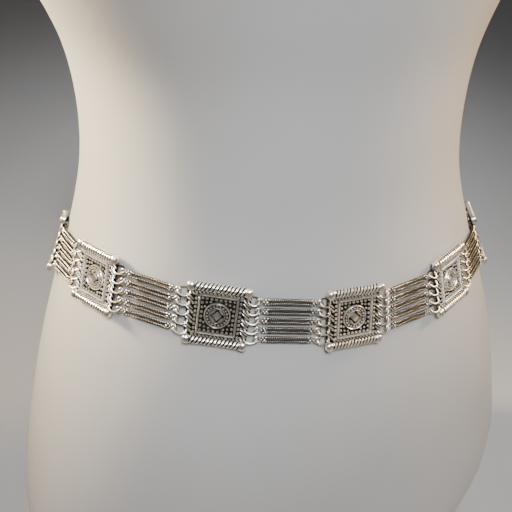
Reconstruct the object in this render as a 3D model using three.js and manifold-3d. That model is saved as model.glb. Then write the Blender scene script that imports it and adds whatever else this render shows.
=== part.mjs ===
// A waist chain of cast plates and double-rod rows, closed round a smooth waist-and-hip display form.
// Millimetres, +Z up. The form faces -Y and stands on z = 0, with the origin at the middle of its foot.
import * as THREE from "three";
import { mergeVertices } from "three/addons/utils/BufferGeometryUtils.js";
import Module from "manifold-3d";

const wasm = await Module();
wasm.setup();

// Display form: one row for each level, evenly spaced from the foot to the top.
// The sections are superellipses, a little squarer than an ellipse.
const FORM_STEP = 40;
const FORM_SECTIONS = [
  { halfWidth: 158, halfDepth: 99, centre: 0 },
  { halfWidth: 186, halfDepth: 115, centre: 5 },
  { halfWidth: 192.5, halfDepth: 119, centre: 10 },
  { halfWidth: 186, halfDepth: 121, centre: 14.5 },
  { halfWidth: 176.5, halfDepth: 123, centre: 19 },
  { halfWidth: 165, halfDepth: 123, centre: 24 },
  { halfWidth: 151, halfDepth: 119.5, centre: 29 },
  { halfWidth: 136, halfDepth: 113.5, centre: 33.5 },
  { halfWidth: 125, halfDepth: 110.5, centre: 38.5 },
  { halfWidth: 122, halfDepth: 112, centre: 43 },
  { halfWidth: 127, halfDepth: 117, centre: 48 },
  { halfWidth: 143, halfDepth: 125, centre: 52 },
  { halfWidth: 163, halfDepth: 133, centre: 56 },
];
const FORM_HEIGHT = 474;
const FORM_SQUARENESS = 2.114;
const FORM_EDGE_RADIUS = 9;
const FORM_EDGE_PARTS = [0, 0.3, 1];
const FORM_AROUND = 48;
const FORM_LEVELS = 13;
const NORMAL_STEP = 0.01;

// Belt line: its level above the foot for each 30 degrees round the form, from the front towards +X.
const BELT_LEVEL = 270;
const BELT_RISE_STEP = 30;
const BELT_RISE = [0, -5, -12.5, -26, -43, -57, -62, -50, -25, 0.5, 10, 7];
const BELT_SAMPLES = 720;
const FRONT_STATION = 1;
const UNIT_PITCH = 80.3;
const BELT_OFFSET = 2.5;

// Small differences from plate to plate, as the chain lies on the form: along the belt, up, turned, and
// how far the jump rings behind it hold the plate's back off the form.
const PLATES = [
  { unit: -4, along: 0, lift: 0, turnDeg: 0, off: 1.2 },
  { unit: -3, along: -0.6, lift: 0, turnDeg: 0, off: 1.9 },
  { unit: -2, along: 1, lift: -0.6, turnDeg: 0.4, off: 2 },
  { unit: -1, along: 0.6, lift: 0.4, turnDeg: 0.6, off: 2 },
  { unit: 0, along: -0.4, lift: -0.6, turnDeg: -0.4, off: 2.2 },
  { unit: 1, along: -1.9, lift: 0.7, turnDeg: 3, off: 2.1 },
  { unit: 2, along: -0.6, lift: 0, turnDeg: 0, off: 1.8 },
  { unit: 3, along: 0, lift: 0, turnDeg: 0, off: 1.4 },
];

// Cast plate.
const PLATE_WIDTH = 36;
const PLATE_HEIGHT = 36.6;
const PANEL_WIDTH = 35.2;
const PANEL_THICK = 0.8;
const RIDGE_RADIUS = 2.45;
const RIDGE_RISE = 0.9;
const HOLE_FROM_MIDDLE = 15.8;
const HOLE_HALF_WIDTH = 1.2;
const HOLE_HALF_HEIGHT = 1.7;
const RIDGE_STEPS = 2;
const RIDGE_SIDES = 8;
const FRAME_WIDTH = 22.2;
const FRAME_HEIGHT = 23.6;
const FRAME_BAND = 1.2;
const FRAME_TOP = 1.9;
const MEDALLION_RADIUS = 7.4;
const MEDALLION_TOP = 1.8;
const EYE_RING_RADIUS = 4.3;
const EYE_RING_TOP = 1.9;
const RING_BAND = 0.9;
const RING_AROUND = 12;
const DIAMOND_SIDE = 4.2;
const DIAMOND_TOP = 2.1;

// Rows of double rods between the plates.
const ROWS = 5;
const ROW_PITCH = 5.64;
const ROD = 1.8;
const ROD_GAP = 0.45;
const EYE_TO_EYE = 34.6;
const EYE_RADIUS = 2.1;
const EYE_CORNER = 0.87;
const CLUSTER_LENGTH = 3.4;
const CLUSTER_HALF = 2.15;
const NECK_HALF = 0.9;

// Jump rings.
const RING_RADIUS = 3.3;
const RING_WIRE = 0.42;
const RING_DROOP_DEG = 48;
const RING_SIDES = 3;
const RING_STEPS = 8;

// Closure at the back: a claw clasp and a plain long-link chain, in lengths of four links.
const CHAIN_LENGTHS = 6;
const LINKS_EACH = 4;
const LINK_RADIUS = 3;
const LINK_WIRE = 0.8;
const LINK_CLEAR = 0.3;
const LINK_FUSE = 0.3;
const LINK_SIDES = 4;
const LINK_STEPS = 6;
const LINK_ROLL_DEG = 45;
const CHAIN_OFFSET = 2.7;
const CLASP_LENGTH = 24;
const CLASP_WIDTH = 10;
const CLASP_THICK = 1.4;
const CLASP_PLAY = 1.5;
const CLASP_SINK = 0.7;
const CLASP_BAND = 1.6;
const CLASP_STEPS = 4;

const SILVER = { color: 0xb9b6af, roughness: 0.32, metalness: 1 };
const SATIN_SHELL = { color: 0xc9c7c2, roughness: 0.45, metalness: 0 };

function solidOf(geometry) {
  const bare = geometry.clone();
  bare.deleteAttribute("normal");
  bare.deleteAttribute("uv");
  const merged = mergeVertices(bare, 1e-4);
  return new wasm.Manifold(
    new wasm.Mesh({
      numProp: 3,
      vertProperties: new Float32Array(merged.attributes.position.array),
      triVerts: new Uint32Array(merged.index.array),
    }),
  );
}

function geometryOf(solid) {
  const mesh = solid.getMesh();
  const geometry = new THREE.BufferGeometry();
  geometry.setAttribute("position", new THREE.BufferAttribute(mesh.vertProperties, 3));
  geometry.setIndex(new THREE.BufferAttribute(mesh.triVerts, 1));
  geometry.computeVertexNormals();
  return geometry;
}

function joined(geometries) {
  return geometryOf(geometries.map(solidOf).reduce((whole, piece) => whole.add(piece)));
}

function namedMesh(name, geometry, finish) {
  const mesh = new THREE.Mesh(geometry, new THREE.MeshStandardMaterial(finish));
  mesh.name = name;
  return mesh;
}

// A smooth value between evenly spaced rows, by a cubic through the neighbours.
function between(rows, at) {
  const index = Math.floor(at);
  const part = at - index;
  const [before, from, to, after] = [index - 1, index, index + 1, index + 2].map(rows);
  const leave = (to - before) / 2;
  const arrive = (after - from) / 2;
  const square = part * part;
  const cube = square * part;
  return (
    (2 * cube - 3 * square + 1) * from +
    (cube - 2 * square + part) * leave +
    (3 * square - 2 * cube) * to +
    (cube - square) * arrive
  );
}

function formSize(column, level) {
  const last = FORM_SECTIONS.length - 1;
  return between((row) => FORM_SECTIONS[THREE.MathUtils.clamp(row, 0, last)][column], level / FORM_STEP);
}

// A point of the form's surface: turn is 0 at the front and grows towards +X.
function formPoint(turn, level, inset = 0) {
  const sideways = Math.sin(turn);
  const forward = Math.cos(turn);
  const power = 2 / FORM_SQUARENESS;
  const width = formSize("halfWidth", level) - inset;
  const depth = formSize("halfDepth", level) - inset;
  return new THREE.Vector3(
    width * Math.sign(sideways) * Math.abs(sideways) ** power,
    formSize("centre", level) - depth * Math.sign(forward) * Math.abs(forward) ** power,
    level,
  );
}

function formNormal(turn, level) {
  const along = formPoint(turn + NORMAL_STEP, level).sub(formPoint(turn - NORMAL_STEP, level));
  const up = formPoint(turn, level + 1).sub(formPoint(turn, level - 1));
  return along.cross(up).normalize();
}

// How far a point lies outside the form, square to its surface.
function outsideForm(point) {
  const level = point.z;
  const x = point.x / formSize("halfWidth", level);
  const y = (formSize("centre", level) - point.y) / formSize("halfDepth", level);
  const half = FORM_SQUARENESS / 2;
  const sideways = Math.sign(x) * Math.abs(x) ** half;
  const forward = Math.sign(y) * Math.abs(y) ** half;
  const turn = Math.atan2(sideways, forward);
  return point.clone().sub(formPoint(turn, level)).dot(formNormal(turn, level));
}

// The form: a turned unit drum whose rim is moved out to each level's section, its edges rounded.
function formGeometry() {
  const levels = FORM_EDGE_PARTS.map((part) => part * FORM_EDGE_RADIUS);
  const bottom = levels[levels.length - 1];
  const rise = (FORM_HEIGHT - 2 * bottom) / FORM_LEVELS;
  for (let step = 1; step < FORM_LEVELS; step++) levels.push(bottom + step * rise);
  levels.push(...FORM_EDGE_PARTS.toReversed().map((part) => FORM_HEIGHT - part * FORM_EDGE_RADIUS));
  const rim = levels.map((level) => new THREE.Vector2(1, level));
  const profile = [new THREE.Vector2(0, 0), ...rim, new THREE.Vector2(0, FORM_HEIGHT)];
  const drum = new THREE.LatheGeometry(profile, FORM_AROUND);
  const places = drum.attributes.position;
  for (let index = 0; index < places.count; index++) {
    const level = places.getY(index);
    const onRim = Math.hypot(places.getX(index), places.getZ(index)) > 0.5;
    const fromEnd = Math.min(level, FORM_HEIGHT - level, FORM_EDGE_RADIUS);
    const left = FORM_EDGE_RADIUS - fromEnd;
    const inset = FORM_EDGE_RADIUS - Math.sqrt(FORM_EDGE_RADIUS ** 2 - left ** 2);
    const turn = Math.atan2(places.getX(index), places.getZ(index));
    const place = onRim
      ? formPoint(turn, level, inset)
      : new THREE.Vector3(0, formSize("centre", level), level);
    places.setXYZ(index, place.x, place.y, place.z);
  }
  return geometryOf(solidOf(drum));
}

// The belt line on the form, measured along its length from the front middle.
function beltLine(offset) {
  const points = [];
  const normals = [];
  for (let sample = 0; sample <= BELT_SAMPLES; sample++) {
    const degrees = (sample / BELT_SAMPLES) * 360;
    const rise = between(
      (row) => BELT_RISE[(row + BELT_RISE.length) % BELT_RISE.length],
      degrees / BELT_RISE_STEP,
    );
    const turn = THREE.MathUtils.degToRad(degrees);
    const normal = formNormal(turn, BELT_LEVEL + rise);
    normals.push(normal);
    points.push(formPoint(turn, BELT_LEVEL + rise).addScaledVector(normal, offset));
  }
  const stations = [0];
  for (let sample = 1; sample <= BELT_SAMPLES; sample++) {
    stations.push(stations[sample - 1] + points[sample].distanceTo(points[sample - 1]));
  }
  return { points, normals, stations, length: stations[BELT_SAMPLES] };
}

function onLine(line, station, values) {
  const wanted = THREE.MathUtils.euclideanModulo(station, line.length);
  const after = Math.max(1, line.stations.findIndex((value) => value >= wanted));
  const share =
    (wanted - line.stations[after - 1]) / (line.stations[after] - line.stations[after - 1]);
  return values[after - 1].clone().lerp(values[after], share);
}

// A frame at a station: x along the belt, y up the form, z out from it.
function beltFrame(line, station, chord) {
  const start = onLine(line, station - chord / 2, line.points);
  const end = onLine(line, station + chord / 2, line.points);
  const along = end.sub(start).normalize();
  const out = onLine(line, station, line.normals).addScaledVector(
    along,
    -along.dot(onLine(line, station, line.normals)),
  );
  out.normalize();
  const up = out.clone().cross(along);
  const frame = new THREE.Matrix4().makeBasis(along, up, out);
  return frame.setPosition(onLine(line, station, line.points));
}

// The station whose point on the line lies nearest to a given point.
function stationNear(line, point) {
  const gaps = line.points.map((place) => place.distanceTo(point));
  return line.stations[gaps.indexOf(Math.min(...gaps))];
}

function plateGeometry() {
  const ridgeMiddle = PLATE_HEIGHT / 2 - RIDGE_RADIUS;
  const panel = new THREE.BoxGeometry(PANEL_WIDTH, 2 * ridgeMiddle, PANEL_THICK);
  let plate = solidOf(panel.translate(0, 0, PANEL_THICK / 2));
  for (const side of [-1, 1]) {
    for (let row = 0; row < ROWS; row++) {
      const hole = new THREE.BoxGeometry(2 * HOLE_HALF_WIDTH, 2 * HOLE_HALF_HEIGHT, 4 * PANEL_THICK);
      plate = plate.subtract(solidOf(hole.translate(side * HOLE_FROM_MIDDLE, rowHeight(row), 0)));
    }
  }

  const ridge = new THREE.CapsuleGeometry(
    RIDGE_RADIUS,
    PLATE_WIDTH - 2 * RIDGE_RADIUS,
    RIDGE_STEPS,
    RIDGE_SIDES,
    1,
  );
  ridge.rotateZ(Math.PI / 2);
  ridge.translate(0, 0, RIDGE_RISE);
  const behind = new THREE.BoxGeometry(2 * PLATE_WIDTH, 2 * PLATE_HEIGHT, PLATE_WIDTH);
  behind.translate(0, 0, -PLATE_WIDTH / 2);
  for (const side of [-1, 1]) {
    const placed = ridge.clone().translate(0, side * ridgeMiddle, 0);
    plate = plate.add(solidOf(placed).subtract(solidOf(behind)));
  }

  const square = new THREE.Shape();
  const hollow = new THREE.Path();
  for (const [outline, inset] of [
    [square, 0],
    [hollow, FRAME_BAND],
  ]) {
    const across = FRAME_WIDTH / 2 - inset;
    const up = FRAME_HEIGHT / 2 - inset;
    outline.moveTo(-across, -up);
    outline.lineTo(across, -up);
    outline.lineTo(across, up);
    outline.lineTo(-across, up);
  }
  square.holes.push(hollow);
  const sunk = PANEL_THICK / 2;
  const frame = new THREE.ExtrudeGeometry(square, { depth: FRAME_TOP - sunk, bevelEnabled: false });
  plate = plate.add(solidOf(frame.translate(0, 0, sunk)));

  for (const [radius, top] of [
    [MEDALLION_RADIUS, MEDALLION_TOP],
    [EYE_RING_RADIUS, EYE_RING_TOP],
  ]) {
    const band = [
      new THREE.Vector2(radius - RING_BAND, sunk),
      new THREE.Vector2(radius, sunk),
      new THREE.Vector2(radius - RING_BAND / 2, top),
      new THREE.Vector2(radius - RING_BAND, sunk),
    ];
    plate = plate.add(solidOf(new THREE.LatheGeometry(band, RING_AROUND).rotateX(Math.PI / 2)));
  }
  const diamond = new THREE.BoxGeometry(DIAMOND_SIDE, DIAMOND_SIDE, DIAMOND_TOP - sunk);
  diamond.rotateZ(Math.PI / 4);
  diamond.translate(0, 0, (DIAMOND_TOP + sunk) / 2);
  return geometryOf(plate.add(solidOf(diamond)));
}

function rowHeight(row) {
  return ((ROWS - 1) / 2 - row) * ROW_PITCH;
}

// One row's link: two rods side by side, with a bead cluster and an eye at each end.
function rodLinkGeometry() {
  const eye = EYE_TO_EYE / 2;
  const clusterEnd = eye - EYE_RADIUS;
  const rodEnd = clusterEnd - CLUSTER_LENGTH;
  const rodsHalf = ROD + ROD_GAP / 2;
  const quarter = [
    [rodEnd, rodsHalf],
    [rodEnd, CLUSTER_HALF],
    [clusterEnd, NECK_HALF],
    [eye - EYE_RADIUS / 2, EYE_RADIUS * EYE_CORNER],
    [eye + EYE_RADIUS / 2, EYE_RADIUS * EYE_CORNER],
    [eye + EYE_RADIUS, 0],
  ];
  const right = [...quarter, ...quarter.slice(0, -1).reverse().map(([x, y]) => [x, -y])];
  const left = right.map(([x, y]) => [-x, -y]);
  const outline = new THREE.Shape([...right, ...left].map(([x, y]) => new THREE.Vector2(x, y)));
  const slot = new THREE.Path();
  slot.moveTo(-rodEnd, -ROD_GAP / 2);
  slot.lineTo(rodEnd, -ROD_GAP / 2);
  slot.lineTo(rodEnd, ROD_GAP / 2);
  slot.lineTo(-rodEnd, ROD_GAP / 2);
  outline.holes.push(slot);
  const rods = new THREE.ExtrudeGeometry(outline, { depth: ROD, bevelEnabled: false });
  return rods.translate(0, 0, -ROD / 2);
}

function jumpRing() {
  const ring = new THREE.TorusGeometry(RING_RADIUS, RING_WIRE, RING_SIDES, RING_STEPS);
  return ring.rotateX(Math.PI / 2 + THREE.MathUtils.degToRad(RING_DROOP_DEG));
}

// A long link: a wire ring whose halves are drawn apart along x.
function linkGeometry(halfStraight, rollDeg) {
  const ring = new THREE.TorusGeometry(LINK_RADIUS, LINK_WIRE, LINK_SIDES, LINK_STEPS);
  const places = ring.attributes.position;
  for (let index = 0; index < places.count; index++) {
    const x = places.getX(index);
    places.setX(index, x + Math.sign(x) * halfStraight);
  }
  return ring.rotateX(THREE.MathUtils.degToRad(rollDeg));
}

function claspGeometry() {
  const straight = (CLASP_LENGTH - CLASP_WIDTH) / 2;
  const body = new THREE.Shape();
  const opening = new THREE.Path();
  for (const [outline, radius] of [
    [body, CLASP_WIDTH / 2],
    [opening, CLASP_WIDTH / 2 - CLASP_BAND],
  ]) {
    outline.absarc(straight, 0, radius, -Math.PI / 2, Math.PI / 2);
    outline.absarc(-straight, 0, radius, Math.PI / 2, (3 * Math.PI) / 2);
  }
  body.holes.push(opening);
  const settings = { depth: CLASP_THICK, bevelEnabled: false, curveSegments: CLASP_STEPS };
  return new THREE.ExtrudeGeometry(body, settings).translate(0, 0, -CLASP_THICK / 2);
}

const waistChain = new THREE.Group();
waistChain.add(namedMesh("display_form", formGeometry(), SATIN_SHELL));

// Plates, each tangent to the form at its own place on the belt line.
const line = beltLine(BELT_OFFSET);
const plateShape = plateGeometry();
const frames = PLATES.map((plate) => {
  const frame = beltFrame(line, FRONT_STATION + plate.unit * UNIT_PITCH + plate.along, PLATE_WIDTH);
  frame.multiply(new THREE.Matrix4().makeTranslation(0, plate.lift, plate.off - BELT_OFFSET));
  return frame.multiply(new THREE.Matrix4().makeRotationZ(THREE.MathUtils.degToRad(plate.turnDeg)));
});
frames.forEach((frame, index) => {
  const plate = namedMesh("plate_" + (index + 1), plateShape, SILVER);
  plate.applyMatrix4(frame);
  waistChain.add(plate);
});

function holePoint(frame, side, row) {
  return new THREE.Vector3(side * HOLE_FROM_MIDDLE, rowHeight(row), PANEL_THICK / 2).applyMatrix4(frame);
}

// A frame that runs from one point to another, z as near as may be to the given way out.
function spanFrame(start, end, out) {
  const along = end.clone().sub(start).normalize();
  const up = out.clone().cross(along).normalize();
  const frame = new THREE.Matrix4().makeBasis(along, up, along.clone().cross(up));
  return frame.setPosition(start.clone().add(end).multiplyScalar(0.5));
}

// A jump ring in a hole on the given side of its plate, reaching towards an eye; its x stays along the belt.
function ringFrom(hole, side, eye, out) {
  const frame = side > 0 ? spanFrame(hole, eye, out) : spanFrame(eye, hole, out);
  const reach = eye.clone().sub(hole).setLength(RING_RADIUS);
  return frame.setPosition(hole.clone().add(reach));
}

// Rows, each link tangent to the form between its plates, joined to them by its two jump rings.
const rodLink = rodLinkGeometry();
for (let section = 0; section + 1 < frames.length; section++) {
  const [from, to] = [frames[section], frames[section + 1]];
  const out = new THREE.Vector3().setFromMatrixColumn(from, 2);
  out.add(new THREE.Vector3().setFromMatrixColumn(to, 2)).normalize();
  const off = (PLATES[section].off + PLATES[section + 1].off + PANEL_THICK) / 2;
  for (let row = 0; row < ROWS; row++) {
    const holes = [holePoint(from, 1, row), holePoint(to, -1, row)];
    const frame = spanFrame(...holes, out);
    const middle = new THREE.Vector3().setFromMatrixPosition(frame);
    frame.setPosition(middle.addScaledVector(out, off - outsideForm(middle)));
    const home = frame.clone().invert();
    const pieces = [rodLink];
    holes.forEach((hole, end) => {
      const side = end ? -1 : 1;
      const eye = new THREE.Vector3(-side * (EYE_TO_EYE / 2), 0, 0).applyMatrix4(frame);
      pieces.push(jumpRing().applyMatrix4(home.clone().multiply(ringFrom(hole, side, eye, out))));
    });
    const name = "row_" + (section + 1) + "_" + (row + 1);
    const link = namedMesh(name, joined(pieces), SILVER);
    link.applyMatrix4(frame);
    waistChain.add(link);
  }
}

// Closure: from the last plate's middle hole round the back to the first plate's.
const chainLine = beltLine(CHAIN_OFFSET);
const middleRow = (ROWS - 1) / 2;
const lastHole = holePoint(frames[frames.length - 1], 1, middleRow);
const firstHole = holePoint(frames[0], -1, middleRow);
const closureStart = stationNear(chainLine, lastHole);
const closureEnd = stationNear(chainLine, firstHole);

const ringInside = 2 * RING_RADIUS - RING_WIRE - LINK_CLEAR;
const claspEnd = closureEnd - ringInside + CLASP_BAND + CLASP_PLAY;
const chainStart = closureStart + ringInside - LINK_WIRE;
const chainEnd = claspEnd - CLASP_LENGTH + CLASP_BAND + CLASP_PLAY + LINK_WIRE;

for (const [name, hole, side, station] of [
  ["end_ring_chain", lastHole, 1, closureStart + 2 * RING_RADIUS],
  ["end_ring_clasp", firstHole, -1, closureEnd - 2 * RING_RADIUS],
]) {
  const ring = namedMesh(name, geometryOf(solidOf(jumpRing())), SILVER);
  const out = onLine(chainLine, station, chainLine.normals);
  ring.applyMatrix4(ringFrom(hole, side, onLine(chainLine, station, chainLine.points), out));
  waistChain.add(ring);
}

const clasp = namedMesh("clasp", claspGeometry(), SILVER);
clasp.applyMatrix4(beltFrame(chainLine, claspEnd - CLASP_LENGTH / 2, CLASP_LENGTH));
clasp.translateZ(-CLASP_SINK);
waistChain.add(clasp);

// Links of one length are joined where their wires cross, and the lengths hang clear in each other.
const crossFused = 2 * LINK_WIRE - LINK_FUSE;
const crossClear = 2 * LINK_WIRE + LINK_CLEAR;
const linkCount = CHAIN_LENGTHS * LINKS_EACH;
const crossings = (linkCount - CHAIN_LENGTHS) * crossFused + (CHAIN_LENGTHS - 1) * crossClear;
const linkLength = (chainEnd - chainStart + crossings) / linkCount;
let linkStart = chainStart;
for (let length = 0; length < CHAIN_LENGTHS; length++) {
  const pieces = [];
  for (let link = 0; link < LINKS_EACH; link++) {
    const shape = linkGeometry(linkLength / 2 - LINK_RADIUS, link % 2 ? -LINK_ROLL_DEG : LINK_ROLL_DEG);
    pieces.push(shape.applyMatrix4(beltFrame(chainLine, linkStart + linkLength / 2, linkLength)));
    linkStart += linkLength - (link + 1 < LINKS_EACH ? crossFused : crossClear);
  }
  waistChain.add(namedMesh("extender_chain_" + (length + 1), joined(pieces), SILVER));
}

export default waistChain;
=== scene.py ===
# A waist chain of cast plates and double-rod rows, on a smooth waist-and-hip display form.
# Every piece is built in millimetres and turned into metres as it is placed.
import bmesh
import bpy
import math
from mathutils import Matrix, Vector


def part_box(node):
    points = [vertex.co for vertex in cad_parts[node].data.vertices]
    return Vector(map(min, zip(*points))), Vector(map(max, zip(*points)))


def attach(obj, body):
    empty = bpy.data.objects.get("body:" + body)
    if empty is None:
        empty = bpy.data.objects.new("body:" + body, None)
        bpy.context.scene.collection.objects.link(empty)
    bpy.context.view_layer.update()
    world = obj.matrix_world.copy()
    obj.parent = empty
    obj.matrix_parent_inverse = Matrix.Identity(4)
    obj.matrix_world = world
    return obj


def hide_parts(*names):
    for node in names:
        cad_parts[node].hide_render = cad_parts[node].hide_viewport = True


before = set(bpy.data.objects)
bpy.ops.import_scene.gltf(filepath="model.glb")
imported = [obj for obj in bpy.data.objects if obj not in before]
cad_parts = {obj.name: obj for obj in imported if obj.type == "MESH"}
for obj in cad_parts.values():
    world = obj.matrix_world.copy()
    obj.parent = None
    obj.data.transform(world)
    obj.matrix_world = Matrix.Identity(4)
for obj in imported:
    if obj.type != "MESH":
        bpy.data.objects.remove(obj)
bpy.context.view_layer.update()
MM = 0.001


# The display form: a hollow moulded shell, closed at the top and the foot, with a satin skin.
# Each level is a superellipse, and the levels run smoothly from the hips through the waist to the ribs.
FORM_STEP = 40
FORM_SECTIONS = [
    (158, 99, 0), (186, 115, 5), (192.5, 119, 10), (186, 121, 14.5), (176.5, 123, 19),
    (165, 123, 24), (151, 119.5, 29), (136, 113.5, 33.5), (125, 110.5, 38.5), (122, 112, 43),
    (127, 117, 48), (143, 125, 52), (163, 133, 56),
]
FORM_HEIGHT = 474
FORM_SQUARENESS = 2.114
FORM_EDGE = 9
FORM_SKIN = 0.3
FORM_AROUND = 160
FORM_RISE = 6
EDGE_TURN = 15
SATIN_DARK = (0.355, 0.357, 0.36)
SATIN_LIGHT = (0.39, 0.392, 0.395)


def curve_value(a, b, c, d, part):
    """A value on the smooth curve through four others, the given part of the way from b to c."""
    leave, arrive = (c - a) / 2, (d - b) / 2
    return (
        (2 * part**3 - 3 * part**2 + 1) * b + (part**3 - 2 * part**2 + part) * leave
        + (3 * part**2 - 2 * part**3) * c + (part**3 - part**2) * arrive
    )


def form_size(column, level):
    last = len(FORM_SECTIONS) - 1
    index = math.floor(level / FORM_STEP)
    part = level / FORM_STEP - index
    near = [FORM_SECTIONS[min(max(index + k, 0), last)][column] for k in (-1, 0, 1, 2)]
    return curve_value(*near, part)


def form_point(turn, level, inset):
    sideways, forward = math.sin(turn), math.cos(turn)
    power = 2 / FORM_SQUARENESS
    x = (form_size(0, level) - inset) * math.copysign(abs(sideways) ** power, sideways)
    y = (form_size(1, level) - inset) * math.copysign(abs(forward) ** power, forward)
    return Vector((x, form_size(2, level) - y, level))


def node_tree(name):
    material = bpy.data.materials.new(name)
    material.use_nodes = True
    nodes = material.node_tree.nodes
    return material, nodes, material.node_tree.links, nodes["Principled BSDF"]


def satin_shell():
    material, nodes, links, shader = node_tree("satin_shell")
    place = nodes.new("ShaderNodeTexCoord")
    cloud = nodes.new("ShaderNodeTexNoise")
    cloud.inputs["Scale"].default_value = 9
    cloud.inputs["Detail"].default_value = 3
    tone = nodes.new("ShaderNodeValToRGB")
    tone.color_ramp.elements[0].position = 0.3
    tone.color_ramp.elements[0].color = (*SATIN_DARK, 1)
    tone.color_ramp.elements[1].position = 0.7
    tone.color_ramp.elements[1].color = (*SATIN_LIGHT, 1)
    grain = nodes.new("ShaderNodeTexNoise")
    grain.inputs["Scale"].default_value = 900
    grain.inputs["Detail"].default_value = 2
    bump = nodes.new("ShaderNodeBump")
    bump.inputs["Strength"].default_value = 0.06
    bump.inputs["Distance"].default_value = 0.0004
    links.new(place.outputs["Object"], cloud.inputs["Vector"])
    links.new(place.outputs["Object"], grain.inputs["Vector"])
    links.new(cloud.outputs["Fac"], tone.inputs["Fac"])
    links.new(tone.outputs["Color"], shader.inputs["Base Color"])
    links.new(grain.outputs["Fac"], bump.inputs["Height"])
    links.new(bump.outputs["Normal"], shader.inputs["Normal"])
    shader.inputs["Roughness"].default_value = 0.42
    shader.inputs["Coat Weight"].default_value = 0.12
    shader.inputs["Coat Roughness"].default_value = 0.25
    return material


def add_piece(name, shape, place, materials, nodes, sharp=40):
    bmesh.ops.recalc_face_normals(shape, faces=shape.faces)
    shape.transform(Matrix.Scale(MM, 4) @ place)
    mesh = bpy.data.meshes.new(name)
    shape.to_mesh(mesh)
    shape.free()
    for face in mesh.polygons:
        face.use_smooth = True
    mesh.set_sharp_from_angle(angle=math.radians(sharp))
    for material in materials:
        mesh.materials.append(material)
    piece = bpy.data.objects.new(name, mesh)
    bpy.context.scene.collection.objects.link(piece)
    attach(piece, "root")
    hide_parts(*nodes)
    return piece


shell = bmesh.new()
edge_levels = [FORM_EDGE * (1 - math.cos(math.radians(turn))) for turn in range(0, 90, EDGE_TURN)]
wall_steps = int((FORM_HEIGHT - 2 * FORM_EDGE) / FORM_RISE)
levels = edge_levels + [FORM_EDGE + k * FORM_RISE for k in range(wall_steps + 1)]
levels += [FORM_HEIGHT - level for level in reversed(edge_levels)]
rings = []
for level in levels:
    left = FORM_EDGE - min(level, FORM_HEIGHT - level, FORM_EDGE)
    inset = FORM_SKIN + FORM_EDGE - math.sqrt(FORM_EDGE**2 - left**2)
    turns = [math.tau * k / FORM_AROUND for k in range(FORM_AROUND)]
    ring = [shell.verts.new(form_point(turn, level, inset)) for turn in turns]
    for k in range(FORM_AROUND):
        if rings:
            low = rings[-1]
            shell.faces.new((low[k - 1], low[k], ring[k], ring[k - 1]))
    rings.append(ring)
shell.faces.new(rings[0])
shell.faces.new(rings[-1])
add_piece("torso_shell", shell, Matrix(), [satin_shell()], ["display_form"], sharp=60)


# The metal: cast zinc alloy with an antique silver plating, rubbed bright on the twisted frame and left
# dark with patina in the grooves and hollows. Painted shade darkens the undersides of beads, rods, eyes
# and rings, and the metal between parts and against the form. The ground of the plates is darker than the
# raised work on them.
def antique_silver(name, bright, dark, reach, gloss):
    """Plated metal: bright and dark are its colours, and reach is how near a wall darkens it, in mm, as
    patina in hollows and as painted shade between parts and against the form.
    """
    material, nodes, links, shader = node_tree(name)
    place = nodes.new("ShaderNodeTexCoord")
    # The vertex attribute read here holds real patina in the grooves and painted shade on the undersides
    # of beads, rods, eyes and rings.
    patina_and_shade = nodes.new("ShaderNodeAttribute")
    patina_and_shade.attribute_name = "patina_and_shade"
    open_part = nodes.new("ShaderNodeMath")
    open_part.operation = "SUBTRACT"
    # Ambient occlusion: partly the plating's dark patina in hollows, partly painted shade between parts
    # and against the form.
    hollow = nodes.new("ShaderNodeAmbientOcclusion")
    hollow.samples = 8
    hollow.inputs["Distance"].default_value = reach * MM
    wear = nodes.new("ShaderNodeTexNoise")
    wear.inputs["Scale"].default_value = 420
    wear.inputs["Detail"].default_value = 4
    shift = nodes.new("ShaderNodeMath")
    shift.operation = "MULTIPLY_ADD"
    shift.inputs[1].default_value = 0.3
    shift.inputs[2].default_value = -0.15
    total = nodes.new("ShaderNodeMath")
    total.operation = "ADD"
    tone = nodes.new("ShaderNodeValToRGB")
    tone.color_ramp.elements[0].position = 0.36
    tone.color_ramp.elements[0].color = (*dark, 1)
    tone.color_ramp.elements[1].position = 0.78
    tone.color_ramp.elements[1].color = (*bright, 1)
    rough = nodes.new("ShaderNodeMapRange")
    rough.inputs["From Min"].default_value = 0.3
    rough.inputs["From Max"].default_value = 0.9
    rough.inputs["To Min"].default_value = 0.55
    rough.inputs["To Max"].default_value = gloss
    bump = nodes.new("ShaderNodeBump")
    bump.inputs["Strength"].default_value = 0.25
    bump.inputs["Distance"].default_value = 0.00012
    links.new(place.outputs["Object"], wear.inputs["Vector"])
    links.new(wear.outputs["Fac"], shift.inputs[0])
    links.new(hollow.outputs["AO"], open_part.inputs[0])
    links.new(patina_and_shade.outputs["Fac"], open_part.inputs[1])
    links.new(open_part.outputs["Value"], total.inputs[0])
    links.new(shift.outputs["Value"], total.inputs[1])
    links.new(total.outputs["Value"], tone.inputs["Fac"])
    links.new(total.outputs["Value"], rough.inputs["Value"])
    links.new(tone.outputs["Color"], shader.inputs["Base Color"])
    links.new(rough.outputs["Result"], shader.inputs["Roughness"])
    links.new(wear.outputs["Fac"], bump.inputs["Height"])
    links.new(bump.outputs["Normal"], shader.inputs["Normal"])
    shader.inputs["Metallic"].default_value = 1
    return material


RAISED = antique_silver(
    "silver_raised", bright=(0.94, 0.91, 0.86), dark=(0.03, 0.027, 0.023), reach=0.9, gloss=0.28
)
GROUND = antique_silver(
    "silver_ground", bright=(0.12, 0.112, 0.1), dark=(0.025, 0.023, 0.02), reach=1.6, gloss=0.5
)
WIRE = antique_silver(
    "silver_wire", bright=(0.95, 0.91, 0.84), dark=(0.022, 0.02, 0.018), reach=2.0, gloss=0.28
)
# The rings' warm champagne tone is a painted reflection of the warm side lamps.
RING = antique_silver(
    "silver_ring", bright=(0.82, 0.75, 0.63), dark=(0.1, 0.088, 0.07), reach=1.4, gloss=0.28
)


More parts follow.
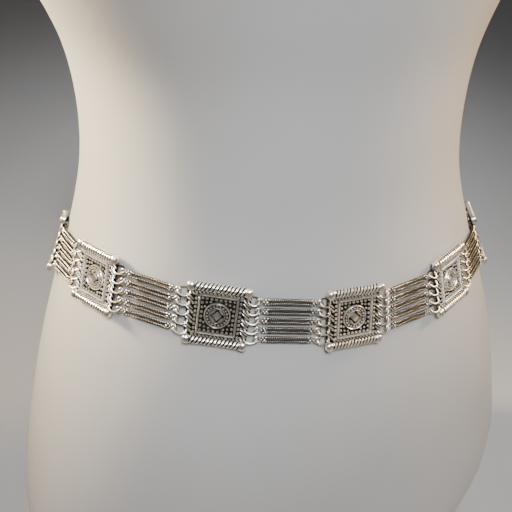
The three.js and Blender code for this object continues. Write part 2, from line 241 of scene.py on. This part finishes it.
# The cast plates: a thin panel with five holes down each side for the jump rings. Rolled ridges with
# slanting grooves run along the top and bottom, with a smooth knob at each end.
PLATE_WIDTH = 36
PLATE_HEIGHT = 36.6
PANEL_WIDTH = 35.2
PANEL_THICK = 0.8
RIDGE_RADIUS = 2.45
RIDGE_RISE = 0.9
RIDGE_MIDDLE = PLATE_HEIGHT / 2 - RIDGE_RADIUS
HOLE_FROM_MIDDLE = 15.8
HOLE_RADIUS = 1.15
ROWS = 5
ROW_PITCH = 5.64
RIDGE_PROUD = 0.15
GROOVES = 13
RIDGE_GROOVE = 0.7
RIDGE_SLANT = 1.8
GROOVE_SHARPNESS = 8
DEEP_GROOVE = 0.5
KNOB_HALF = 2.45
KNOB_BLUNTNESS = 0.72
KNOB_OVERLAP = 0.6


def row_height(row):
    return ((ROWS - 1) / 2 - row) * ROW_PITCH


def disc_hole_cell(shape, x, y, width, height):
    """A rectangle of the panel's face with a round hole in its middle."""
    sides = 16
    outer, inner = [], []
    for k in range(sides):
        turn = math.tau * (k + 0.5) / sides
        across, up = math.cos(turn), math.sin(turn)
        reach = min(width / 2 / max(abs(across), 1e-6), height / 2 / max(abs(up), 1e-6))
        outer.append(shape.verts.new((x + reach * across, y + reach * up, PANEL_THICK)))
        inner.append(shape.verts.new((x + HOLE_RADIUS * across, y + HOLE_RADIUS * up, PANEL_THICK)))
    for k in range(sides):
        shape.faces.new((outer[k - 1], outer[k], inner[k], inner[k - 1]))


def panel(shape):
    strip = 2 * (PANEL_WIDTH / 2 - HOLE_FROM_MIDDLE)
    middle_half = PANEL_WIDTH / 2 - strip
    for side in (-1, 1):
        for row in range(ROWS):
            disc_hole_cell(shape, side * HOLE_FROM_MIDDLE, row_height(row), strip, ROW_PITCH)
    for low_x, high_x, low_y, high_y in (
        (-middle_half, middle_half, -RIDGE_MIDDLE, RIDGE_MIDDLE),
        (-PANEL_WIDTH / 2, -middle_half, ROWS * ROW_PITCH / 2, RIDGE_MIDDLE),
        (-PANEL_WIDTH / 2, -middle_half, -RIDGE_MIDDLE, -ROWS * ROW_PITCH / 2),
        (middle_half, PANEL_WIDTH / 2, ROWS * ROW_PITCH / 2, RIDGE_MIDDLE),
        (middle_half, PANEL_WIDTH / 2, -RIDGE_MIDDLE, -ROWS * ROW_PITCH / 2),
    ):
        corners = ((low_x, low_y), (high_x, low_y), (high_x, high_y), (low_x, high_y))
        shape.faces.new([shape.verts.new((x, y, PANEL_THICK)) for x, y in corners])
    bmesh.ops.solidify(shape, geom=shape.faces[:], thickness=PANEL_THICK)
    low = min(vert.co.z for vert in shape.verts)
    bmesh.ops.translate(shape, verts=shape.verts, vec=(0, 0, -low))
    for face in shape.faces:
        face.material_index = 1


def grooved_bar(shape, start, end, radius, height, grooves, depth, slant, steps, sides, polish=0):
    """A half-round bar with grooves across it, each leaning by slant grooves from edge to edge."""
    patina_and_shade = shape.verts.layers.float["patina_and_shade"]
    start, end = Vector(start), Vector(end)
    along = (end - start).normalized()
    across = Vector((-along.y, along.x, 0))
    length = (end - start).length
    over = math.ceil(slant / 2 * steps)
    rows = []
    for i in range(-over, grooves * steps + over + 1):
        groove = abs(math.cos(math.pi * i / steps)) ** GROOVE_SHARPNESS
        row = []
        for j in range(sides + 1):
            turn = math.pi * j / sides
            share = (i / steps - slant * (j / sides - 0.5)) / grooves
            reach = radius - depth * groove
            spot = start + along * (length * min(max(share, 0), 1)) + across * (reach * math.cos(turn))
            vert = shape.verts.new(spot + Vector((0, 0, height * reach / radius * math.sin(turn))))
            vert[patina_and_shade] = groove * min(depth / DEEP_GROOVE, 1) - polish
            row.append(vert)
        rows.append(row)
    for low, high in zip(rows, rows[1:]):
        for j in range(sides):
            shape.faces.new((low[j], low[j + 1], high[j + 1], high[j]))
        shape.faces.new((low[0], high[0], high[sides], low[sides]))
    shape.faces.new(rows[0])
    shape.faces.new(rows[-1])
    bmesh.ops.remove_doubles(shape, verts=[vert for row in rows for vert in row], dist=1e-4)


def dome(shape, place, size, sides=8, rings=5, turn=0, painted_shade_below=0.25):
    """An ellipsoid of the given half sizes, turned about z, with painted shade that darkens it towards its
    underside.
    """
    matrix = (
        Matrix.Translation(place) @ Matrix.Rotation(turn, 4, "Z") @ Matrix.Diagonal((*size, 1))
    )
    made = bmesh.ops.create_uvsphere(shape, u_segments=sides, v_segments=rings, radius=1, matrix=matrix)
    patina_and_shade = shape.verts.layers.float["patina_and_shade"]
    # Painted shade: each dome gets darker from its top towards its bottom.
    for vert in made["verts"]:
        vert[patina_and_shade] = min(max(painted_shade_below - (vert.co.z - place[2]) / size[2], 0), 1)


def knob(shape, place, size):
    """A blunt pebble: an ellipsoid drawn out towards its corners."""
    made = bmesh.ops.create_uvsphere(shape, u_segments=16, v_segments=10, radius=1)
    for vert in made["verts"]:
        blunt = [math.copysign(abs(value) ** KNOB_BLUNTNESS, value) for value in vert.co]
        vert.co = Vector([middle + half * value for middle, half, value in zip(place, size, blunt)])


def ridges(shape):
    knob_x = PLATE_WIDTH / 2 - KNOB_HALF + 0.1
    knob_size = (KNOB_HALF, RIDGE_RADIUS + 0.25, RIDGE_RADIUS + 0.1)
    for side in (-1, 1):
        y = side * RIDGE_MIDDLE
        reach = PLATE_WIDTH / 2 - 2 * KNOB_HALF + KNOB_OVERLAP
        grooved_bar(
            shape, (-reach, y, 0), (reach, y, 0), radius=RIDGE_RADIUS + RIDGE_PROUD,
            height=RIDGE_RADIUS + RIDGE_RISE, grooves=GROOVES, depth=RIDGE_GROOVE, slant=RIDGE_SLANT,
            steps=8, sides=12,
        )
        for end in (-1, 1):
            knob(shape, (end * knob_x, y, RIDGE_RISE), knob_size)
    bmesh.ops.bisect_plane(
        shape, geom=shape.verts[:] + shape.edges[:] + shape.faces[:], dist=1e-5,
        plane_co=(0, 0, 0), plane_no=(0, 0, 1), clear_inner=True,
    )


# The relief on each plate: a twisted square frame, beads along it inside and out, and a round
# medallion of two rings, a circle of beads and four petals round a raised diamond.
FRAME_ACROSS = 10.5
FRAME_UP = 11.2
FRAME_WIRE = 0.75
FRAME_TOP = 1.95
FRAME_TWISTS = 25
FRAME_GROOVE = 0.14
FRAME_POLISH = 0.36
BEAD = 0.95
BEAD_SEAT = PANEL_THICK + 0.1
BEADS_OUTSIDE = 13
CHEVRON_REACH = 12.6
CHEVRON_BEAD = (1.25, 0.72, 1.0)
CHEVRON_TURN = math.radians(-48)
BEADS_BESIDE = 10
BEAD_BESIDE = 0.98
BEADS_INSIDE = 8
BEAD_INSIDE = 0.9
CORNER_BEADS = ((6.4, 7.2), (4.2, 7.7), (7.1, 4.7))
CORNER_BEAD = (0.72, 0.72, 0.8)
MEDALLION = 7.0
MEDALLION_WIRE = 0.95
MEDALLION_TOP = 1.65
MEDALLION_BEADS = 19
MEDALLION_BEAD = (0.78, 0.78, 0.85)
EYE_RING = 4.35
EYE_RING_WIRE = 0.75
EYE_RING_TOP = 1.6
BEAD_CIRCLE = 5.625
PETAL_RADIUS = 3.95
PETAL_START = 7
PETAL_SPAN = 76
PETAL_WAIST = 2.6
PETAL_FLARE = 0.5
PETAL_TOP = 1.7
PETAL_EDGE = 0.15
DIAMOND = 2.6
DIAMOND_TOP = 1.85
DIAMOND_EDGE = 0.3
VEIN = (3.0, 0.62, 0.95)
VEIN_MIDDLE = 15.5
VEIN_OFFSET = 0.95
VEIN_SLOPE = math.radians(-40)
HOLE_BEAD = (0.8, 0.7, 0.7)
HOLE_BEAD_MIDDLE = 13.7


def beads_between(shape, start, end, count, size):
    for k in range(count):
        share = k / (count - 1)
        x = start[0] + (end[0] - start[0]) * share
        y = start[1] + (end[1] - start[1]) * share
        dome(shape, (x, y, BEAD_SEAT), (size, size, size))


def raised_ring(shape, radius, width, top):
    sides, around = 5, 36
    rows = []
    for i in range(around):
        turn = math.tau * i / around
        row = []
        for j in range(sides):
            slope = math.pi * j / (sides - 1)
            reach = radius + width / 2 * math.cos(slope)
            rise = PANEL_THICK / 2 + (top - PANEL_THICK / 2) * math.sin(slope)
            row.append(shape.verts.new((reach * math.cos(turn), reach * math.sin(turn), rise)))
        rows.append(row)
    for i in range(around):
        for j in range(sides):
            k = (j + 1) % sides
            shape.faces.new((rows[i - 1][j], rows[i - 1][k], rows[i][k], rows[i][j]))


def raised_outline(shape, points, top, soft):
    base = shape.faces.new([shape.verts.new((x, y, PANEL_THICK / 2)) for x, y in points])
    grown = bmesh.ops.extrude_face_region(shape, geom=[base])["geom"]
    upper = [item for item in grown if isinstance(item, bmesh.types.BMVert)]
    bmesh.ops.translate(shape, verts=upper, vec=(0, 0, top - PANEL_THICK / 2))
    rim = [item for item in grown if isinstance(item, bmesh.types.BMEdge)]
    bmesh.ops.bevel(
        shape, geom=rim, offset=soft, segments=2, profile=0.5, affect="EDGES", material=-1
    )


def square_frame(shape):
    corners = [(-1, -1), (1, -1), (1, 1), (-1, 1)]
    for k in range(4):
        start = (FRAME_ACROSS * corners[k][0], FRAME_UP * corners[k][1], PANEL_THICK / 2)
        end = (FRAME_ACROSS * corners[(k + 1) % 4][0], FRAME_UP * corners[(k + 1) % 4][1], PANEL_THICK / 2)
        grooved_bar(
            shape, start, end, radius=FRAME_WIRE, height=FRAME_TOP, grooves=FRAME_TWISTS,
            depth=FRAME_GROOVE, slant=1, steps=4, sides=5, polish=FRAME_POLISH,
        )
    across, up = FRAME_ACROSS - FRAME_WIRE - BEAD, FRAME_UP - FRAME_WIRE - BEAD
    step = 2 * up / (BEADS_INSIDE - 1)
    outside = (FRAME_UP + FRAME_WIRE + RIDGE_MIDDLE - RIDGE_RADIUS) / 2
    beside = FRAME_ACROSS + FRAME_WIRE + BEAD
    for side in (-1, 1):
        row, column = side * up, side * across
        beads_between(shape, (-across, row), (across, row), BEADS_INSIDE, BEAD_INSIDE)
        beads_between(shape, (column, step - up), (column, up - step), BEADS_INSIDE - 2, BEAD_INSIDE)
        for k in range(BEADS_OUTSIDE):
            x = CHEVRON_REACH * (2 * k / (BEADS_OUTSIDE - 1) - 1)
            dome(shape, (x, side * outside, BEAD_SEAT), CHEVRON_BEAD, turn=CHEVRON_TURN)
        column = side * beside
        beads_between(shape, (column, -FRAME_UP), (column, FRAME_UP), BEADS_BESIDE, BEAD_BESIDE)
        for other in (-1, 1):
            for near, far in CORNER_BEADS:
                dome(shape, (side * near, other * far, BEAD_SEAT), CORNER_BEAD)


def medallion(shape):
    raised_ring(shape, MEDALLION, MEDALLION_WIRE, MEDALLION_TOP)
    raised_ring(shape, EYE_RING, EYE_RING_WIRE, EYE_RING_TOP)
    for k in range(MEDALLION_BEADS):
        turn = math.tau * k / MEDALLION_BEADS
        place = (BEAD_CIRCLE * math.cos(turn), BEAD_CIRCLE * math.sin(turn), BEAD_SEAT)
        dome(shape, place, MEDALLION_BEAD)
    for quarter in range(4):
        start = math.pi / 2 * quarter
        arc = [start + math.radians(PETAL_START + PETAL_SPAN * k / 6) for k in range(7)]
        points = [(PETAL_RADIUS * math.cos(turn), PETAL_RADIUS * math.sin(turn)) for turn in arc]
        for k in (3, 2, 1):
            turn = start + math.radians(PETAL_START + PETAL_SPAN * k / 4)
            reach = PETAL_WAIST + PETAL_FLARE * abs(k - 2)
            points.append((reach * math.cos(turn), reach * math.sin(turn)))
        raised_outline(shape, points, PETAL_TOP, PETAL_EDGE)
    diamond = [(DIAMOND, 0), (0, DIAMOND), (-DIAMOND, 0), (0, -DIAMOND)]
    raised_outline(shape, diamond, DIAMOND_TOP, DIAMOND_EDGE)


def vein_strips(shape):
    """Pairs of slanting veins between the holes, and a bead beside each hole."""
    strip_end = RIDGE_MIDDLE - RIDGE_RADIUS + 1
    for side in (-1, 1):
        for row in range(ROWS + 1):
            between = row_height(row) + ROW_PITCH / 2
            for offset in (-VEIN_OFFSET, VEIN_OFFSET):
                place = (side * VEIN_MIDDLE, between + offset, PANEL_THICK)
                if abs(between + offset) < strip_end:
                    dome(shape, place, VEIN, turn=VEIN_SLOPE, painted_shade_below=0.5)
        for row in range(ROWS):
            dome(shape, (side * HOLE_BEAD_MIDDLE, row_height(row), PANEL_THICK), HOLE_BEAD)


def plate_shape():
    raised = bmesh.new()
    raised.verts.layers.float.new("patina_and_shade")
    ridges(raised)
    square_frame(raised)
    medallion(raised)
    vein_strips(raised)
    ground = bmesh.new()
    panel(ground)
    mesh = bpy.data.meshes.new("panel")
    ground.to_mesh(mesh)
    ground.free()
    raised.from_mesh(mesh)
    bpy.data.meshes.remove(mesh)
    return raised


def solid_frame(node, along):
    """The frame of a flat cast solid in mm: z square to its broad back, x nearest to the given way."""
    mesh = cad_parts[node].data
    ways = {}
    for face in mesh.polygons:
        key = tuple(round(value, 2) for value in face.normal)
        ways[key] = ways.get(key, Vector()) + face.normal * face.area
    out = -max(ways.values(), key=lambda way: way.length).normalized()
    sides = [way for way in ways.values() if abs(way.normalized().dot(out)) < 0.02]
    x_way = Vector()
    for way in sides:
        if way.normalized().dot(along) > 0.8:
            x_way += way
    x_way = (x_way - out * x_way.dot(out)).normalized()
    turn = Matrix((x_way, out.cross(x_way), out))
    spots = [turn @ (vert.co / MM) for vert in mesh.vertices]
    low = [min(spot[axis] for spot in spots) for axis in range(3)]
    high = [max(spot[axis] for spot in spots) for axis in range(3)]
    middle = Vector(((low[0] + high[0]) / 2, (low[1] + high[1]) / 2, low[2]))
    return Matrix.Translation(turn.transposed() @ middle) @ turn.transposed().to_4x4()


def box_middle(node):
    low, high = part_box(node)
    return (low + high) / 2 / MM


PLATES = 8
plate_names = ["plate_%d" % number for number in range(1, PLATES + 1)]
middles = [box_middle(name) for name in plate_names]
plate_frames = []
for index, name in enumerate(plate_names):
    before = middles[max(index - 1, 0)]
    after = middles[min(index + 1, PLATES - 1)]
    plate_frames.append(solid_frame(name, (after - before).normalized()))
cast = plate_shape()
for name, place in zip(plate_names, plate_frames):
    add_piece("cast_" + name, cast.copy(), place, [RAISED, GROUND], [name], sharp=35)
cast.free()


# The rows between the plates: two twisted rods side by side, soldered at each end into a flower of
# small beads with a round eye. A jump ring joins each eye to its hole in the plate.
ROD = 0.97
ROD_APART = 2.25
EYE_TO_EYE = 34.6
EYE_OUTSIDE = 2.1
EYE_WIRE = 0.52
CLUSTER = 3.4
TWIST = 1.05
TWIST_DEPTH = 0.27
TWIST_STEPS = 5
TWIST_SHARPNESS = 1.6
TWIST_TARNISH = 1.2
# Painted shade on the rods: darker away from their outward face, and darker still on their lower side.
FLANK_PAINTED_SHADE = 1.8
UNDER_PAINTED_SHADE = 0.5
CLUSTER_BEADS = ((0.1, 1.3, 0.85), (0.1, -1.3, 0.85), (1.7, 1.15, 0.8), (1.7, -1.15, 0.8), (2.75, 0, 0.75))
CLUSTER_TOP = (0.85, 0.85, 0.75)
RING_HALF = 2.7
RING_WIRE = 0.47
RING_DROOP = 48


def twisted_rod(shape, start_x, end_x, y):
    patina_and_shade = shape.verts.layers.float["patina_and_shade"]
    steps, sides = int((end_x - start_x) / TWIST * TWIST_STEPS), 8
    rows = []
    for i in range(steps + 1):
        x = start_x + (end_x - start_x) * i / steps
        row = []
        for j in range(sides):
            turn = math.tau * j / sides
            groove = abs(math.cos(turn - math.pi * x / TWIST)) ** TWIST_SHARPNESS
            reach = ROD - TWIST_DEPTH * groove
            vert = shape.verts.new((x, y + reach * math.cos(turn), reach * math.sin(turn)))
            # Painted shade: the rod darkens away from its outward face and on its lower side. The twist
            # grooves carry real patina.
            flank_shade = max(0.7 - math.sin(turn), 0)
            under_shade = max(0.1 - math.cos(turn), 0)
            vert[patina_and_shade] = TWIST_TARNISH * groove + FLANK_PAINTED_SHADE * flank_shade + UNDER_PAINTED_SHADE * under_shade
            row.append(vert)
        rows.append(row)
    for low, high in zip(rows, rows[1:]):
        for j in range(sides):
            shape.faces.new((low[j - 1], low[j], high[j], high[j - 1]))
    shape.faces.new(rows[0])
    shape.faces.new(rows[-1])


def wire_loop(shape, half_x, half_y, wire, around, sides, matrix, straight=0, inner_shade=0):
    """A loop of round wire in the xy plane, an ellipse whose halves may be drawn apart along x."""
    patina_and_shade = shape.verts.layers.float["patina_and_shade"]
    rows = []
    for i in range(around):
        turn = math.tau * (i + 0.5) / around
        x, y = math.cos(turn), math.sin(turn)
        spot = Vector((half_x * x + math.copysign(straight, x), half_y * y, 0))
        way = Vector((half_y * x, half_x * y, 0)).normalized()
        row = []
        for j in range(sides):
            slope = math.tau * j / sides
            offset = way * (wire * math.cos(slope)) + Vector((0, 0, wire * math.sin(slope)))
            vert = shape.verts.new(matrix @ (spot + offset))
            # Painted shade: the wire darkens away from its outward face, as much as this factor sets.
            vert[patina_and_shade] = inner_shade * max(0.8 - math.sin(slope), 0)
            row.append(vert)
        rows.append(row)
    for i in range(around):
        for j in range(sides):
            shape.faces.new((rows[i - 1][j - 1], rows[i - 1][j], rows[i][j], rows[i][j - 1]))


def rod_link():
    shape = bmesh.new()
    shape.verts.layers.float.new("patina_and_shade")
    eye = EYE_TO_EYE / 2
    rod_end = eye - EYE_OUTSIDE - CLUSTER + 0.5
    for y in (-ROD_APART / 2, ROD_APART / 2):
        twisted_rod(shape, -rod_end, rod_end, y)
    for side in (-1, 1):
        start = rod_end - 0.1
        # The cluster beads carry heavy painted shade, which leaves only their tops light.
        for x, y, size in CLUSTER_BEADS:
            dome(shape, (side * (start + x), y, 0), (size, size, size), painted_shade_below=1.1)
        dome(shape, (side * (start + 0.9), 0, 0.6), CLUSTER_TOP, 10, 7, painted_shade_below=1.0)
        loop = EYE_OUTSIDE - EYE_WIRE
        wire_loop(shape, loop, loop, EYE_WIRE, 16, 8, Matrix.Translation((side * eye, 0, 0)), inner_shade=1)
    return shape


def hole_point(place, side, row):
    return place @ Vector((side * HOLE_FROM_MIDDLE, row_height(row), PANEL_THICK / 2))


def span_frame(start, end, out):
    along = (end - start).normalized()
    up = out.cross(along).normalized()
    turn = Matrix((along, up, along.cross(up))).transposed()
    return Matrix.Translation((start + end) / 2) @ turn.to_4x4()


def jump_ring(name, low, high, out, nodes):
    """A ring of round wire through two points along the belt, with its front hanging down."""
    shape = bmesh.new()
    shape.verts.layers.float.new("patina_and_shade")
    lean = Matrix.Rotation(math.radians(90 + RING_DROOP), 4, "X")
    wire_loop(shape, (high - low).length / 2, RING_HALF, RING_WIRE, 24, 8, lean)
    patina_and_shade = shape.verts.layers.float["patina_and_shade"]
    # Painted shade: the half of each ring that lies behind, towards the form, is darkened.
    for vert in shape.verts:
        vert[patina_and_shade] = min(max(-vert.co.z, 0), 1)
    add_piece(name, shape, span_frame(low, high, out), [RING], nodes, sharp=80)


link = rod_link()
for section in range(PLATES - 1):
    left, right = plate_frames[section], plate_frames[section + 1]
    out = (left.col[2].xyz + right.col[2].xyz).normalized()
    for row in range(ROWS):
        node = "row_%d_%d" % (section + 1, row + 1)
        start, end = hole_point(left, 1, row), hole_point(right, -1, row)
        place = span_frame(start, end, out)
        home = place.inverted()
        spots = [home @ (vert.co / MM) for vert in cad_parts[node].data.vertices]
        depths = [spot.z for spot in spots if abs(spot.x) < EYE_TO_EYE / 2 - EYE_OUTSIDE - CLUSTER / 2]
        sunk = (min(depths) + max(depths)) / 2
        place = Matrix.Translation(out * (sunk / out.dot(place.col[2].xyz))) @ place
        add_piece("rods_" + node[4:], link.copy(), place, [WIRE], [node], sharp=50)
        eyes = [place @ Vector((side * EYE_TO_EYE / 2, 0, 0)) for side in (-1, 1)]
        jump_ring("ring_%s_left" % node[4:], start, eyes[0], out, [node])
        jump_ring("ring_%s_right" % node[4:], eyes[1], end, out, [node])
link.free()


# The closure at the back: a plain long-link chain from the last plate to a claw clasp, which hooks
# on to a ring in the first plate.
LINKS = 24
LINK_HALF = 3.0
LINK_WIRE = 0.75
CLASP_LENGTH = 24
CLASP_HALF = 4.1
CLASP_WIRE = 0.85
CLASP_BRIDGE = (1.2, 3.6, 0.8)
CLASP_LEVER = (3.4, 0.75, 0.7)
CHAIN_OUT = 0.5
LINK_TURN = 45
ROUTE_STEPS = 400
BACK_AXIS = Vector((0, 43, 0))

first_hole = hole_point(plate_frames[0], -1, 2)
last_hole = hole_point(plate_frames[-1], 1, 2)
ring_ends = []
for name, hole in (("end_ring_chain", last_hole), ("end_ring_clasp", first_hole)):
    middle = box_middle(name)
    far = hole + (middle - hole) * 2
    away = (middle - BACK_AXIS) * Vector((1, 1, 0))
    ends = (hole, far) if name.endswith("chain") else (far, hole)
    jump_ring(name + "_wire", *ends, away.normalized(), [name])
    ring_ends.append(far)

clasp_middle = box_middle("clasp")
clasp_way = (ring_ends[1] - clasp_middle).normalized()
clasp_out = ((clasp_middle - BACK_AXIS) * Vector((1, 1, 0))).normalized()
clasp_place = span_frame(clasp_middle - clasp_way, clasp_middle + clasp_way, clasp_out)
claw = bmesh.new()
claw.verts.layers.float.new("patina_and_shade")
straight = CLASP_LENGTH / 2 - CLASP_HALF - CLASP_WIRE
wire_loop(claw, CLASP_HALF, CLASP_HALF, CLASP_WIRE, 32, 8, Matrix(), straight)
dome(claw, (-CLASP_LENGTH / 2 + 5, 0, 0), CLASP_BRIDGE, 12, 7)
dome(claw, (3.5, CLASP_HALF + 0.2, 0), CLASP_LEVER, 12, 7)
add_piece("claw_clasp", claw, clasp_place, [WIRE], ["clasp"], sharp=60)


def route_point(points, at):
    index = min(int(at), len(points) - 2)
    part = at - index
    near = [points[min(max(index + k, 0), len(points) - 1)] for k in (-1, 0, 1, 2)]
    return curve_value(*near, part)


chain_nodes = ["extender_chain_%d" % number for number in range(1, 7)]
route = [ring_ends[0]]
for name in chain_nodes:
    middle = box_middle(name)
    away = ((middle - BACK_AXIS) * Vector((1, 1, 0))).normalized()
    route.append(middle + away * CHAIN_OUT)
route.append(clasp_middle - clasp_way * (CLASP_LENGTH / 2 - 2))
walk = [route_point(route, (len(route) - 1) * k / ROUTE_STEPS) for k in range(ROUTE_STEPS + 1)]
reach = [0]
for a, b in zip(walk, walk[1:]):
    reach.append(reach[-1] + (b - a).length)
span = reach[-1] / LINKS
for number in range(LINKS):
    ends = []
    for end in (number * span, (number + 1) * span):
        k = max(next(i for i, value in enumerate(reach) if value >= end - 1e-6), 1)
        share = (end - reach[k - 1]) / (reach[k] - reach[k - 1])
        ends.append(walk[k - 1].lerp(walk[k], share))
    middle = (ends[0] + ends[1]) / 2
    away = ((middle - BACK_AXIS) * Vector((1, 1, 0))).normalized()
    shape = bmesh.new()
    shape.verts.layers.float.new("patina_and_shade")
    roll = Matrix.Rotation(math.radians(LINK_TURN if number % 2 else -LINK_TURN), 4, "X")
    wire_loop(shape, LINK_HALF, LINK_HALF, LINK_WIRE, 22, 7, roll, span / 2 + LINK_WIRE - LINK_HALF)
    node = chain_nodes[number * len(chain_nodes) // LINKS]
    name = "link_%02d" % (number + 1)
    add_piece(name, shape, span_frame(*ends, away), [WIRE], [node], sharp=80)


# The floor, and soft studio light: a cool light from the front, warm ones from the left, from behind
# on the left and from the right, and a weak one from above.
FLOOR_HALF = 6
FLOOR_COLOUR = (0.4, 0.395, 0.39)
ROOM_COLOUR = (0.93, 0.95, 1)
ROOM_LIGHT = 0.09
LIGHTS_AIM_Y = -0.05

floor_mesh = bmesh.new()
bmesh.ops.create_grid(floor_mesh, x_segments=1, y_segments=1, size=FLOOR_HALF)
mesh = bpy.data.meshes.new("floor")
floor_mesh.to_mesh(mesh)
floor_mesh.free()
floor = bpy.data.objects.new("floor", mesh)
bpy.context.scene.collection.objects.link(floor)
paper, paper_nodes, paper_links, paper_shader = node_tree("pale_paper")
paper_shader.inputs["Base Color"].default_value = (*FLOOR_COLOUR, 1)
paper_shader.inputs["Roughness"].default_value = 0.9
mesh.materials.append(paper)

world = bpy.data.worlds.new("studio")
bpy.context.scene.world = world
world.use_nodes = True
world.node_tree.nodes["Background"].inputs["Color"].default_value = (*ROOM_COLOUR, 1)
world.node_tree.nodes["Background"].inputs["Strength"].default_value = ROOM_LIGHT
for name, place, height, size, spread, watts, colour in (
    ("front", (-0.35, -1.3, 1.9), 0.46, 0.5, 31, 3.0, (0.94, 0.97, 1)),
    ("left", (-1.25, -0.1, 0.75), 0.27, 0.3, 180, 3.4, (1, 0.66, 0.36)),
    ("left_edge", (-0.95, 0.75, 0.95), 0.55, 0.4, 37, 16.5, (1, 0.79, 0.5)),
    ("right", (1.25, -0.05, 1.0), 0.52, 0.4, 42, 4.7, (1, 0.66, 0.34)),
    ("top", (0.0, -0.35, 1.7), 0.27, 0.5, 180, 6, (1, 1, 1)),
):
    light = bpy.data.lights.new(name, "AREA")
    light.size = size
    light.energy = watts
    light.color = colour
    light.spread = math.radians(spread)
    lamp = bpy.data.objects.new(name, light)
    lamp.location = place
    aim = Vector((0, LIGHTS_AIM_Y, height)) - Vector(place)
    lamp.rotation_euler = aim.to_track_quat("-Z", "Y").to_euler()
    bpy.context.scene.collection.objects.link(lamp)


# The camera looks down at the front of the waist from the left, a little rolled.
CAMERA_PLACE = (-174.0, -352.1, 532.8)
LENS = 50.25
SHIFT = (-0.0333, -0.0828)
ROLL = 0.047

camera = bpy.data.cameras.new("camera")
camera.sensor_width = 36
camera.lens = LENS
camera.shift_x, camera.shift_y = SHIFT
view = bpy.data.objects.new("camera", camera)
bpy.context.scene.collection.objects.link(view)
look = Vector((0.350, 0.7734, -0.5286)).normalized()
right = Vector((0.911, -0.4123, 0)).normalized()
up = right.cross(look).normalized()
turned_right = right * math.cos(ROLL) + up * math.sin(ROLL)
turned_up = up * math.cos(ROLL) - right * math.sin(ROLL)
view.matrix_world = (
    Matrix.Translation(Vector(CAMERA_PLACE) * MM)
    @ Matrix((turned_right, turned_up, -look)).transposed().to_4x4()
)
bpy.context.scene.camera = view
